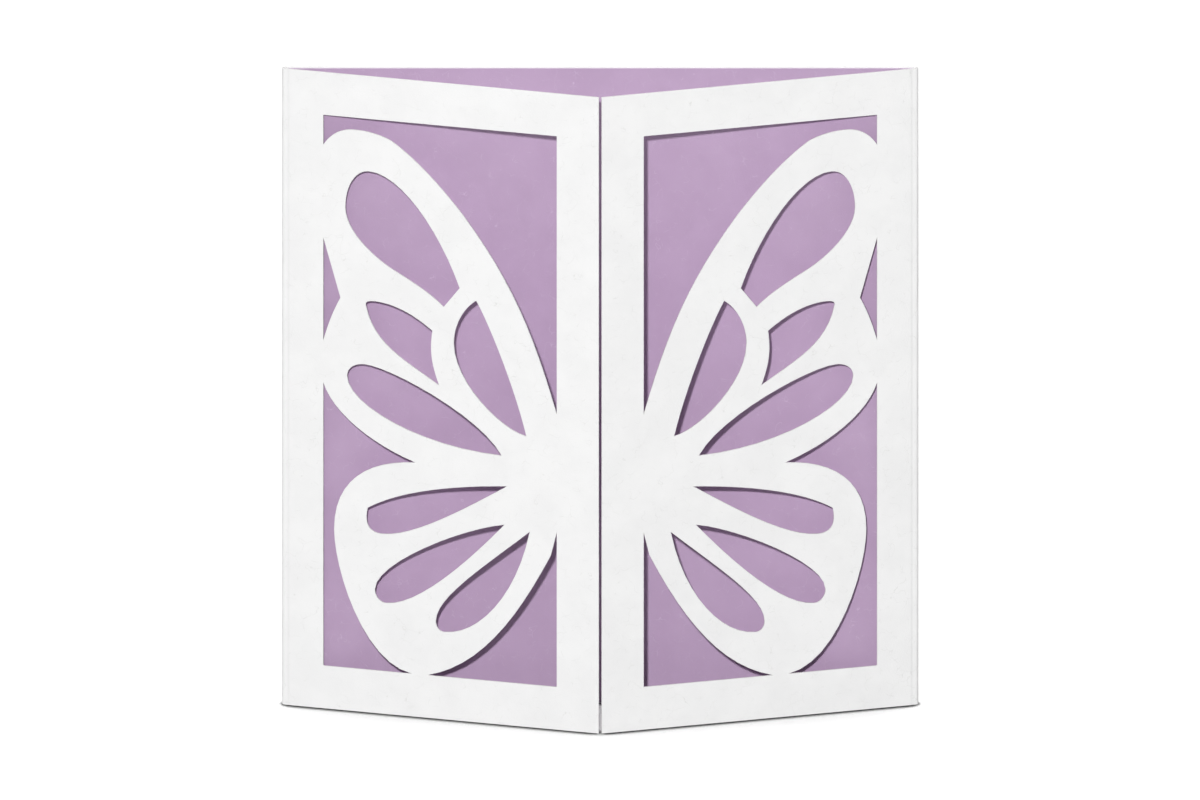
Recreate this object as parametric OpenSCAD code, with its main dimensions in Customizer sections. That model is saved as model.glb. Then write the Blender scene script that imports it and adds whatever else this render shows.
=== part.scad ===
// Gatefold card, standing upright with its two gates ajar.
// One white sheet is folded into a back panel and two gates, whose free edges meet at the front.
// Each gate has a window with half a butterfly left standing in it, and a lilac liner is glued inside.
// Millimetres, +Z up. The front looks along -Y, and the origin is at the middle of the footprint.

/* [Card] */
// Width of the back panel, across the outsides of both folds
back_w = 146; // [110:1:220]
// Height of the card
card_h = 155; // [100:1:230]
// Thickness of the white sheet
card_t = 0.4; // [0.25:0.05:0.6]
// Inside radius of the two folds
fold_r = 0.4; // [0.3:0.05:1]

/* [Gates] */
// How much wider than half the back panel each gate is cut, which sets how far they lean out
gate_extra = 2.5; // [1:0.25:8]
// Gap between the free edges where the gates meet
meeting_gap = 0.5; // [0.2:0.1:2]

/* [Windows] */
// Width of the borders to the left and right of each window
stile_w = 10; // [6:0.5:16]
// Height of the borders above and below each window
rail_h = 10.4; // [6:0.2:20]

/* [Liner] */
// Thickness of the lilac paper
liner_t = 0.2; // [0.1:0.05:0.3]
// Distance from the start of each fold to the liner
liner_side_gap = 0.7; // [0.3:0.1:5]
// Distance from the card's top and bottom edges to the liner
liner_end_gap = 0.3; // [0:0.1:5]

/* [Hidden] */

// Straight steps in each fold, and in each curved stretch of a cut-out
fold_steps = 12;
curve_steps = 12;
// How far the cutting shapes reach past both faces of a gate
cut_past = 0.1;

// Outside radius of the folds, and half the flat width between them
fold_out = fold_r + card_t;
panel_half = back_w / 2 - fold_out;
// Length of a gate, from the axis of its fold to its free edge
leaf = back_w / 2 + gate_extra - fold_out;
// Angle at which the inner corner of the free edge comes to the middle of the card
gate_angle = acos((panel_half - meeting_gap / 2) / norm([leaf, fold_r])) - atan(fold_r / leaf);
// Depth of the whole card, with the back face at half of it behind the origin
depth = fold_out + leaf * sin(gate_angle) + fold_out * cos(gate_angle);
back_y = depth / 2;
fold_axis = [-panel_half, back_y - fold_out];
// Directions of the left gate: from its fold to its free edge, and out of its front
along = [cos(gate_angle), -sin(gate_angle)];
outward = [-sin(gate_angle), -cos(gate_angle)];

// Size of a window, and its distance from the axis of the fold
window_w = leaf + fold_out - 2 * stile_w;
window_h = card_h - 2 * rail_h;
window_x = stile_w - fold_out;

// The cut-outs of the left window are drawn on a grid of its width and height, from its lower left corner.
// Each is a start point and then stretches back to it: [end] is straight, [handle, handle, end] is curved.
grid = 100;

// Open corners around the wings
above_wing = [
    [[0, 94.6]],
    [[3.5, 97], [8.5, 97.8], [13, 97.8]],
    [[19, 97.8], [24.5, 97.3], [29, 96.4]],
    [[37, 94.3], [48, 90.2], [60, 84]],
    [[81, 72.7], [90, 63.6], [100, 49.5]],
    [[100, 100]],
    [[0, 100]],
    [[0, 94.6]]
];
beside_wing = [
    [[0, 77.7]],
    [[7.3, 67.1]],
    [[4.4, 64.8], [2, 62.2], [0, 59.1]],
    [[0, 77.7]]
];
between_wings = [
    [[0, 51.4]],
    [[4, 46.2], [20, 41.2], [39.4, 38.4]],
    [[19, 38], [4.6, 34], [4.6, 25]],
    [[4.6, 18], [16.8, 1.3], [38, 0]],
    [[0, 0]],
    [[0, 51.4]]
];
below_wing = [
    [[44.6, 0]],
    [[66, 2.3], [82, 10.8], [97.5, 23.8]],
    [[100, 28]],
    [[100, 0]],
    [[44.6, 0]]
];

// Cells of the upper wing
drop_cell = [
    [[51.5, 67.1]],
    [[46, 69.4], [37, 71.4], [30, 73]],
    [[21, 75.1], [9.4, 79.4], [9.4, 83.6]],
    [[9.4, 87.3], [13.5, 90.5], [19.5, 90.5]],
    [[33, 90.5], [49.5, 81], [58.4, 70.8]],
    [[51.5, 67.1]]
];
small_leaf_cell = [
    [[46.7, 62.6]],
    [[45.4, 59], [46.3, 56.5], [49.6, 52.8]],
    [[34, 57], [21.6, 59.3], [18.3, 66]],
    [[17.6, 66.8], [19.5, 67], [21.5, 67]],
    [[30, 67], [39, 65.2], [46.7, 62.6]]
];
inner_leaf_cell = [
    [[65.5, 68.8]],
    [[72, 64], [82.5, 52.8], [87, 45]],
    [[76, 45.8], [55.9, 53.7], [55.9, 60.7]],
    [[55.9, 64], [60, 67.2], [65.5, 68.8]]
];
long_cell = [
    [[76.4, 41.1]],
    [[67, 48], [28, 55.4], [17.5, 55.4]],
    [[13.5, 55.4], [10.2, 54.5], [10.2, 53]],
    [[10.2, 47.8], [42, 41.3], [76.4, 41.1]]
];

// Cells of the lower wing, from the top one down
upper_fan_cell = [
    [[78.7, 35.6]],
    [[58, 34.9], [34, 33.3], [19, 29.4]],
    [[17.2, 26], [20.5, 24.9], [25.5, 24.9]],
    [[39, 24.9], [62, 31.2], [78.7, 35.6]]
];
middle_fan_cell = [
    [[77.6, 28.6]],
    [[60, 27.3], [22.1, 19.6], [22.1, 14.7]],
    [[22.1, 13.4], [24.3, 12.4], [27, 12.4]],
    [[40, 12.4], [61, 20.8], [77.6, 28.6]]
];
lower_fan_cell = [
    [[88.4, 27.7]],
    [[70, 21], [48.2, 14.3], [48.2, 10]],
    [[48.2, 8.9], [49.6, 8.1], [52, 8.1]],
    [[66, 8.1], [82.5, 15.5], [88.4, 27.7]]
];

cut_outs = [
    above_wing, beside_wing, between_wings, below_wing,
    drop_cell, small_leaf_cell, inner_leaf_cell, long_cell,
    upper_fan_cell, middle_fan_cell, lower_fan_cell
];

function last(list) = list[len(list) - 1];

function bezier(a, b, c, d, t) =
    a * (1 - t) ^ 3 + b * 3 * t * (1 - t) ^ 2 + c * 3 * t ^ 2 * (1 - t) + d * t ^ 3;

// Points of one stretch, without its start
function stretch(start, to) =
    len(to) == 1 ? to : [for (k = [1 : curve_steps]) bezier(start, to[0], to[1], to[2], k / curve_steps)];

// Closed outline of a cut-out, on the grid
function outline(stretches) =
    [for (k = [1 : len(stretches) - 1]) each stretch(last(stretches[k - 1]), stretches[k])];

// One side of the left gate and its fold, from the free edge to the back panel
function gate_side(radius) = concat(
    [fold_axis + leaf * along + radius * outward],
    [for (k = [0 : fold_steps])
        let (turn = 270 - gate_angle - (180 - gate_angle) * k / fold_steps)
        fold_axis + radius * [cos(turn), sin(turn)]]
);

function flipped(path) = [for (p = path) [-p[0], p[1]]];

function backward(path) = [for (k = [len(path) - 1 : -1 : 0]) path[k]];

// The sheet seen from above: out along the outside of both gates and back along the inside
module sheet_section() {
    outside = gate_side(fold_out);
    inside = gate_side(fold_r);
    polygon(concat(outside, backward(flipped(outside)), flipped(inside), backward(inside)));
}

// Everything cut from the left gate's window, standing in the plane of the gate
module window_cuts() {
    translate([fold_axis[0], fold_axis[1], 0])
        rotate([0, 0, -gate_angle])
            translate([window_x, cut_past - fold_r, rail_h])
                rotate([90, 0, 0])
                    for (cut = cut_outs)
                        linear_extrude(height = card_t + 2 * cut_past)
                            polygon([for (p = outline(cut)) [p[0] * window_w, p[1] * window_h] / grid]);
}

module folded_card() {
    color("whitesmoke")
        difference() {
            linear_extrude(height = card_h)
                sheet_section();
            window_cuts();
            mirror([1, 0, 0])
                window_cuts();
        }
}

module liner() {
    liner_half = panel_half - liner_side_gap;
    color([0.73, 0.63, 0.75])
        translate([-liner_half, back_y - card_t - liner_t, liner_end_gap])
            cube([2 * liner_half, liner_t, card_h - 2 * liner_end_gap]);
}

folded_card();
liner();
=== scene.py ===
from math import cos, radians, sin

import bpy
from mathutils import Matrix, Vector


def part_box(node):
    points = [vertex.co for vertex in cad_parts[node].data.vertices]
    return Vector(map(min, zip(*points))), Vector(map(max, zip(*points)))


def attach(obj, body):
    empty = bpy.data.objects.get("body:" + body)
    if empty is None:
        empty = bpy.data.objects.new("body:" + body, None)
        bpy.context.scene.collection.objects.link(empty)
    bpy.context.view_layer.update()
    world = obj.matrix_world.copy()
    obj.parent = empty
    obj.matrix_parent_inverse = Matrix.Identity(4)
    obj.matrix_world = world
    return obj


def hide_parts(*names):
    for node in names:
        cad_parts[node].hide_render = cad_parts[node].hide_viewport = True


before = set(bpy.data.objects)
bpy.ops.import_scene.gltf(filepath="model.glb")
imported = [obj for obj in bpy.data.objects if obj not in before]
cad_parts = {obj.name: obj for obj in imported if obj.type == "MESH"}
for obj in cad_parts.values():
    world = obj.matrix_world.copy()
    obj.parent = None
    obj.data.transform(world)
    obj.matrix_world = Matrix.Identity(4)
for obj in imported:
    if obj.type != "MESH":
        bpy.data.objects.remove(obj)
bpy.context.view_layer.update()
cardLow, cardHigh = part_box("folded_card")
foldX = cardHigh.x  # outside of the folds, left and right of the middle
print("frame loaded, card", [round(side * 1000, 1) for side in cardHigh - cardLow], "mm")

scene = bpy.context.scene
scene.view_settings.view_transform = "Standard"


# Small helpers for shader trees, where a value is a number, a colour or another node's socket

def feed(tree, socket, value):
    if isinstance(value, bpy.types.NodeSocket):
        tree.links.new(value, socket)
    else:
        socket.default_value = value


def addNode(tree, kind, inputs=None, **settings):
    node = tree.nodes.new(kind)
    for name, value in settings.items():
        setattr(node, name, value)
    for socket, value in (inputs or {}).items():
        feed(tree, node.inputs[socket], value)
    return node


def addMath(tree, operation, *values, clamp=False):
    node = addNode(tree, "ShaderNodeMath", dict(enumerate(values)), operation=operation, use_clamp=clamp)
    return node.outputs[0]


def addRange(tree, value, low, high, toLow=0.0, toHigh=1.0, smooth=True):
    inputs = {"Value": value, "From Min": low, "From Max": high, "To Min": toLow, "To Max": toHigh}
    ramp = "SMOOTHSTEP" if smooth else "LINEAR"
    return addNode(tree, "ShaderNodeMapRange", inputs, clamp=True, interpolation_type=ramp).outputs["Result"]


def addMix(tree, factor, first, second):
    # Inputs 6 and 7 are a Mix node's two colours, and output 2 is what they make
    return addNode(tree, "ShaderNodeMix", {0: factor, 6: first, 7: second}, data_type="RGBA").outputs[2]


def addNoise(tree, vector, noise):
    return addNode(tree, "ShaderNodeTexNoise", {"Vector": vector, **noise}).outputs


def newGroup(name, inputs, outputs):
    tree = bpy.data.node_groups.new(name, "ShaderNodeTree")
    for side, sockets in (("INPUT", inputs), ("OUTPUT", outputs)):
        for label, kind in sockets.items():
            tree.interface.new_socket(label, in_out=side, socket_type="NodeSocket" + kind)
    return tree, addNode(tree, "NodeGroupInput").outputs, addNode(tree, "NodeGroupOutput").inputs


def useGroup(tree, group, values):
    return addNode(tree, "ShaderNodeGroup", values, node_tree=group).outputs


def rgba(color):
    return (*color, 1)


# Uncoated paper: cloudy formation, a fine tooth and single fibres pressed into the face
grain = {
    "cloud": {"Scale": 95.0, "Detail": 3.0, "Roughness": 0.55},  # per metre, so clouds about 10 mm across
    "cloudRange": (0.32, 0.68),
    "tooth": {"Scale": 2600.0, "Detail": 2.0, "Roughness": 0.65},
    "toothRange": (0.3, 0.7),
    "stray": {"Scale": 500.0, "Detail": 1.0},
    "bend": 0.0022,        # m that a fibre strays from a straight line
    "fibreScale": 340.0,
    "fibreWidth": 0.012,   # in fibre cells
    "fibreRelief": 0.5,    # next to the tooth's
    "patch": {"Scale": 420.0, "Detail": 1.0},  # breaks the fibres into short lengths
    "patchRange": (0.5, 0.6),
}


def buildPaperGrain():
    tree, given, out = newGroup(
        "paperGrain",
        {"Paper": "Color", "Cloud": "Color", "Fibre": "Color",
         "Fibre Amount": "Float", "Smooth": "Float", "Rough": "Float"},
        {"Color": "Color", "Roughness": "Float", "Height": "Float"})
    place = addNode(tree, "ShaderNodeTexCoord").outputs["Object"]
    cloud = addRange(tree, addNoise(tree, place, grain["cloud"])["Fac"], *grain["cloudRange"])
    tooth = addNoise(tree, place, grain["tooth"])["Fac"]
    # The borders of bent cells are thin curved lines, and patches keep only parts of them
    stray = addNoise(tree, place, grain["stray"])["Color"]
    bent = addNode(tree, "ShaderNodeVectorMath", {0: stray, 1: (grain["bend"],) * 3, 2: place},
                   operation="MULTIPLY_ADD")
    cells = addNode(tree, "ShaderNodeTexVoronoi", {"Vector": bent.outputs[0], "Scale": grain["fibreScale"]},
                    feature="DISTANCE_TO_EDGE")
    line = addRange(tree, cells.outputs["Distance"], 0.0, grain["fibreWidth"], 1.0, 0.0)
    patch = addRange(tree, addNoise(tree, place, grain["patch"])["Fac"], *grain["patchRange"])
    broken = addMath(tree, "MULTIPLY", line, patch)
    fibre = addMath(tree, "MULTIPLY", broken, given["Fibre Amount"], clamp=True)
    clouded = addMix(tree, cloud, given["Paper"], given["Cloud"])
    toothRough = addRange(tree, tooth, *grain["toothRange"], given["Smooth"], given["Rough"], False)
    raised = addMath(tree, "MULTIPLY", fibre, grain["fibreRelief"])
    feed(tree, out["Color"], addMix(tree, fibre, clouded, given["Fibre"]))
    feed(tree, out["Roughness"], toothRough)
    feed(tree, out["Height"], addMath(tree, "ADD", tooth, raised))
    return tree


# Creased fold: a pressed line beside the fold, and fine cracks along its outside
crease = {
    "reach": 0.0011,       # m in from the outside of the fold
    "pressAt": 0.00135,
    "pressHalf": 0.0005,
    "pressDepth": 0.7,
    "crack": {"Scale": 1500.0, "Detail": 3.0, "Roughness": 0.6},
    "crackStretch": 0.05,  # cracks run along Z
    "crackRange": (0.52, 0.66),
    "crackDepth": 0.6,
}


def buildFoldCrease():
    tree, given, out = newGroup(
        "foldCrease", {"Fold X": "Float"}, {"Crack": "Float", "Press": "Float", "Height": "Float"})
    place = addNode(tree, "ShaderNodeTexCoord").outputs["Object"]
    across = addNode(tree, "ShaderNodeSeparateXYZ", {"Vector": place}).outputs["X"]
    inward = addMath(tree, "SUBTRACT", given["Fold X"], addMath(tree, "ABSOLUTE", across))
    nearFold = addRange(tree, inward, 0.0, crease["reach"], 1.0, 0.0)
    fromPress = addMath(tree, "ABSOLUTE", addMath(tree, "SUBTRACT", inward, crease["pressAt"]))
    press = addRange(tree, fromPress, 0.0, crease["pressHalf"], 1.0, 0.0)
    stretched = addNode(tree, "ShaderNodeMapping", {"Vector": place, "Scale": (1, 1, crease["crackStretch"])})
    streak = addNoise(tree, stretched.outputs[0], crease["crack"])["Fac"]
    crack = addMath(tree, "MULTIPLY", nearFold, addRange(tree, streak, *crease["crackRange"]))
    pressSunk = addMath(tree, "MULTIPLY", press, crease["pressDepth"])
    crackSunk = addMath(tree, "MULTIPLY", crack, crease["crackDepth"])
    sunk = addMath(tree, "ADD", pressSunk, crackSunk)
    feed(tree, out["Crack"], crack)
    feed(tree, out["Press"], press)
    feed(tree, out["Height"], addMath(tree, "MULTIPLY", sunk, -1.0))
    return tree


paperGrain = buildPaperGrain()
foldCrease = buildFoldCrease()


def newMaterial(name):
    material = bpy.data.materials.new(name)
    material.use_nodes = True
    tree = material.node_tree
    return material, tree, tree.nodes["Principled BSDF"].inputs


def paperMaterial(name, look, folded=False):
    material, tree, shader = newMaterial(name)
    stock = useGroup(tree, paperGrain, {
        "Paper": rgba(look["paper"]), "Cloud": rgba(look["cloud"]), "Fibre": rgba(look["fibre"]),
        "Fibre Amount": look["fibreAmount"], "Smooth": look["smooth"], "Rough": look["rough"]})
    color = stock["Color"]
    height = stock["Height"]
    if folded:
        fold = useGroup(tree, foldCrease, {"Fold X": foldX})
        # The pressed line is also painted darker: painted shade in its groove, on top of its bump
        pressedShade = addMath(tree, "MULTIPLY", fold["Press"], look["pressShadeTint"])
        cracked = addMath(tree, "MULTIPLY", fold["Crack"], look["crackTint"])
        color = addMix(tree, pressedShade, color, rgba(look["pressedShade"]))
        color = addMix(tree, cracked, color, rgba(look["cracked"]))
        sunk = addMath(tree, "MULTIPLY", fold["Height"], look["foldDepth"])
        height = addMath(tree, "ADD", height, sunk)
    bump = addNode(tree, "ShaderNodeBump",
                   {"Height": height, "Strength": look["bump"], "Distance": look["bumpHeight"]})
    feed(tree, shader["Base Color"], color)
    feed(tree, shader["Roughness"], stock["Roughness"])
    feed(tree, shader["Specular IOR Level"], look["gloss"])
    feed(tree, shader["Sheen Weight"], look["sheen"])
    feed(tree, shader["Normal"], bump.outputs["Normal"])
    return material


whiteCardLook = {
    "paper": (0.872, 0.872, 0.872), "cloud": (0.904, 0.904, 0.903), "fibre": (0.765, 0.765, 0.755),
    "fibreAmount": 0.85, "smooth": 0.62, "rough": 0.78, "gloss": 0.3, "sheen": 0.03,
    "bump": 0.75, "bumpHeight": 0.00005,
    # pressed line colour: painted shade in the groove beside the fold
    "pressedShade": (0.80, 0.80, 0.80), "pressShadeTint": 0.3, "cracked": (0.95, 0.95, 0.94), "crackTint": 0.45,
    "foldDepth": 1.8,
}
whiteEdgeLook = {
    "paper": (0.80, 0.795, 0.785), "cloud": (0.86, 0.857, 0.85), "fibre": (0.68, 0.67, 0.655),
    "fibreAmount": 0.9, "smooth": 0.8, "rough": 0.95, "gloss": 0.15, "sheen": 0.05,
    "bump": 0.8, "bumpHeight": 0.00006,
}
lilacPaperLook = {
    "paper": (0.472, 0.341, 0.499), "cloud": (0.495, 0.360, 0.523), "fibre": (0.60, 0.47, 0.63),
    "fibreAmount": 0.8, "smooth": 0.66, "rough": 0.82, "gloss": 0.25, "sheen": 0.04,
    "bump": 0.75, "bumpHeight": 0.00005,
}
lilacEdgeLook = {
    "paper": (0.54, 0.42, 0.57), "cloud": (0.58, 0.46, 0.61), "fibre": (0.66, 0.55, 0.69),
    "fibreAmount": 0.8, "smooth": 0.8, "rough": 0.95, "gloss": 0.15, "sheen": 0.05,
    "bump": 0.8, "bumpHeight": 0.00005,
}
whiteCard = paperMaterial("whiteCard", whiteCardLook, folded=True)
whiteCutEdge = paperMaterial("whiteCutEdge", whiteEdgeLook)
lilacPaper = paperMaterial("lilacPaper", lilacPaperLook)
lilacCutEdge = paperMaterial("lilacCutEdge", lilacEdgeLook)
print("materials ready")


# Sheets: merged copies of the CAD nodes, with their cut edges eased and finished apart
sheetMesh = {
    "mergeWithin": 1e-6,   # m
    "flatWithin": 0.1,     # degrees between faces that become one
    "levelFrom": 0.02,     # a face whose normal has more Z than this is a top or bottom edge
    "sidewaysTo": 0.5,     # one with less Y than this looks along the sheet
}


def pickOnly(piece):
    bpy.ops.object.select_all(action="DESELECT")
    piece.select_set(True)
    bpy.context.view_layer.objects.active = piece


def copySheet(nodeName, pieceName):
    piece = bpy.data.objects.new(pieceName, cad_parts[nodeName].data.copy())
    piece.data.name = pieceName
    scene.collection.objects.link(piece)
    piece.data.materials.clear()
    pickOnly(piece)
    bpy.ops.object.mode_set(mode="EDIT")
    bpy.ops.mesh.select_all(action="SELECT")
    bpy.ops.mesh.remove_doubles(threshold=sheetMesh["mergeWithin"])
    bpy.ops.mesh.customdata_custom_splitnormals_clear()
    bpy.ops.mesh.dissolve_limited(angle_limit=radians(sheetMesh["flatWithin"]))
    bpy.ops.mesh.select_mode(type="FACE")
    bpy.ops.mesh.select_all(action="DESELECT")
    bpy.ops.object.mode_set(mode="OBJECT")
    return piece


def finishSheet(piece, faceMaterial, edgeMaterial, isCut, ease):
    piece.data.materials.append(faceMaterial)
    piece.data.materials.append(edgeMaterial)
    for face in piece.data.polygons:
        face.select = isCut(face)
    pickOnly(piece)
    bpy.ops.object.mode_set(mode="EDIT")
    piece.active_material_index = 1
    bpy.ops.object.material_slot_assign()
    bpy.ops.object.mode_set(mode="OBJECT")
    bpy.ops.object.shade_smooth()
    bevel = piece.modifiers.new("easedEdges", "BEVEL")
    bevel.width = ease["width"]
    bevel.segments = ease["segments"]
    bevel.limit_method = "ANGLE"
    bevel.angle_limit = radians(ease["sharperThan"])
    bevel.harden_normals = True
    bpy.ops.object.modifier_apply(modifier=bevel.name)
    print(piece.name, "finished,", len(piece.data.polygons), "faces")


foldedCardEase = {"width": 0.00006, "segments": 2, "sharperThan": 40}  # m and degrees
foldReach = 0.0009  # m in from the outside of a fold, where the flats have begun


def cardIsCut(face):
    # Flats and folds look out or in, and a cut edge looks up, down or along the gate
    alongGate = abs(face.normal.y) < sheetMesh["sidewaysTo"]
    clearOfFold = abs(face.center.x) < foldX - foldReach
    return abs(face.normal.z) > sheetMesh["levelFrom"] or (alongGate and clearOfFold)


foldedCard = copySheet("folded_card", "foldedCard")
finishSheet(foldedCard, whiteCard, whiteCutEdge, cardIsCut, foldedCardEase)
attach(foldedCard, "root")
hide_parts("folded_card")

lilacLinerEase = {"width": 0.00004, "segments": 2, "sharperThan": 40}


def linerIsCut(face):
    return abs(face.normal.y) < sheetMesh["sidewaysTo"]


lilacLiner = copySheet("liner", "lilacLiner")
finishSheet(lilacLiner, lilacPaper, lilacCutEdge, linerIsCut, lilacLinerEase)
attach(lilacLiner, "root")
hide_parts("liner")


# Floor and world: white where they are seen, with painted shade on the floor beside the card, and plain light
# elsewhere
stage = {
    "floorSize": 6.0,
    "floorColor": (0.45, 0.45, 0.45),
    "floorGlow": 0.8,      # added only where the floor is seen, so it lights nothing
    "contactReach": 0.03,  # m, how near the card the glow begins to fade, which paints shade there over the floor's real shading
    "contactRange": (0.3, 0.66),
    "contactRays": 3,
    "lineReach": 0.003,    # m, the painted contact shadow: a dark line right where the card stands
    "lineRange": (0.62, 0.9),
    # colour of the painted contact shadow, seen by the camera only
    "shadowLineColor": (0.05, 0.05, 0.05),
    "lineRays": 8,
    "worldLight": 0.24,
    "backLight": 1.8,      # added from behind, for the back panel
    "backFrom": (0.4, 1.0),
    "darkSide": 0.05,      # light from the far right, which draws the right fold
    "darkSideFrom": (0.6, 0.92),
}


def seenDirectly(tree):
    path = addNode(tree, "ShaderNodeLightPath").outputs
    glossy = addMath(tree, "MAXIMUM", path["Is Camera Ray"], path["Is Glossy Ray"])
    return addMath(tree, "MAXIMUM", glossy, path["Is Transmission Ray"])


bpy.ops.object.select_all(action="DESELECT")
bpy.ops.mesh.primitive_plane_add(size=stage["floorSize"], location=(0, 0, cardLow.z))
floor = bpy.context.active_object
floor.name = "floor"
floorPaint, floorTree, floorShader = newMaterial("floorPaint")


def clearOfCard(reach, span, rays):
    around = addNode(floorTree, "ShaderNodeAmbientOcclusion", {"Distance": reach}, samples=rays)
    return addRange(floorTree, around.outputs["AO"], *span)


floorSeen = seenDirectly(floorTree)
# Painted contact shadow: near the card's foot the floor's colour turns dark for the camera, set by occlusion
# and not by any lamp
clearOfShadowLine = clearOfCard(stage["lineReach"], stage["lineRange"], stage["lineRays"])
clearOfContact = clearOfCard(stage["contactReach"], stage["contactRange"], stage["contactRays"])
shadowLineSeen = addMath(floorTree, "MULTIPLY", floorSeen, addMath(floorTree, "SUBTRACT", 1.0, clearOfShadowLine))
# The glow fades near the card by occlusion: painted shade, over the floor's real lit shading beneath
clearFloor = addMath(floorTree, "MULTIPLY", clearOfShadowLine, clearOfContact)
glow = addMath(floorTree, "MULTIPLY", clearFloor, stage["floorGlow"])
floorColor = addMix(floorTree, shadowLineSeen, rgba(stage["floorColor"]), rgba(stage["shadowLineColor"]))
feed(floorTree, floorShader["Base Color"], floorColor)
feed(floorTree, floorShader["Roughness"], 1.0)
feed(floorTree, floorShader["Specular IOR Level"], 0.0)
feed(floorTree, floorShader["Emission Color"], (1, 1, 1, 1))
feed(floorTree, floorShader["Emission Strength"], addMath(floorTree, "MULTIPLY", floorSeen, glow))
floor.data.materials.append(floorPaint)

world = bpy.data.worlds.new("paleRoom")
scene.world = world
world.use_nodes = True
roomTree = world.node_tree
background = roomTree.nodes["Background"].inputs
toward = addNode(roomTree, "ShaderNodeTexCoord").outputs["Generated"]
direction = addNode(roomTree, "ShaderNodeSeparateXYZ", {"Vector": toward}).outputs
aside = addRange(roomTree, direction["X"], *stage["darkSideFrom"], stage["worldLight"], stage["darkSide"])
behind = addRange(roomTree, direction["Y"], *stage["backFrom"], 0.0, stage["backLight"])
roomLight = addMath(roomTree, "ADD", aside, behind)
roomLevel = addRange(roomTree, seenDirectly(roomTree), 0.0, 1.0, roomLight, 1.0, False)
feed(roomTree, background["Color"], (1, 1, 1, 1))
feed(roomTree, background["Strength"], roomLevel)


# Camera: parallel view from the front, a little from above, on the middle of the card
view = {
    "elevation": 19.7,     # degrees
    "widthSeen": 0.2753,   # m across the picture
    "distance": 1.2,
    "right": -0.00005,     # m from the middle of the card
    "clip": (0.01, 20.0),
}
middle = (cardLow + cardHigh) / 2


def standOff(azimuth, elevation, distance):
    a = radians(azimuth)
    e = radians(elevation)
    return middle + distance * Vector((sin(a) * cos(e), -cos(a) * cos(e), sin(e)))


cameraData = bpy.data.cameras.new("camera")
cameraData.type = "ORTHO"
cameraData.ortho_scale = view["widthSeen"]
cameraData.clip_start, cameraData.clip_end = view["clip"]
camera = bpy.data.objects.new("camera", cameraData)
camera.location = standOff(0, view["elevation"], view["distance"]) + Vector((view["right"], 0, 0))
camera.rotation_euler = (radians(90 - view["elevation"]), 0, 0)
scene.collection.objects.link(camera)
scene.camera = camera


# Lamps: a small key close to the camera's line, up and to the left, and large soft ones
lamps = {
    "key": {"azimuth": -2.9, "elevation": 23.6, "distance": 4.0, "size": 0.12, "watts": 121.0},
    "side": {"azimuth": -100, "elevation": 25, "distance": 1.5, "size": 0.8, "watts": 1.5},
    "top": {"azimuth": 175, "elevation": 80, "distance": 1.3, "size": 0.9, "watts": 4.0},
}
for name, lamp in lamps.items():
    light = bpy.data.lights.new(name + "Lamp", "AREA")
    light.shape = "DISK"
    light.size = lamp["size"]
    light.energy = lamp["watts"]
    holder = bpy.data.objects.new(name + "Lamp", light)
    holder.location = standOff(lamp["azimuth"], lamp["elevation"], lamp["distance"])
    holder.rotation_euler = (middle - holder.location).to_track_quat("-Z", "Y").to_euler()
    scene.collection.objects.link(holder)
print("stage, camera and lamps ready")
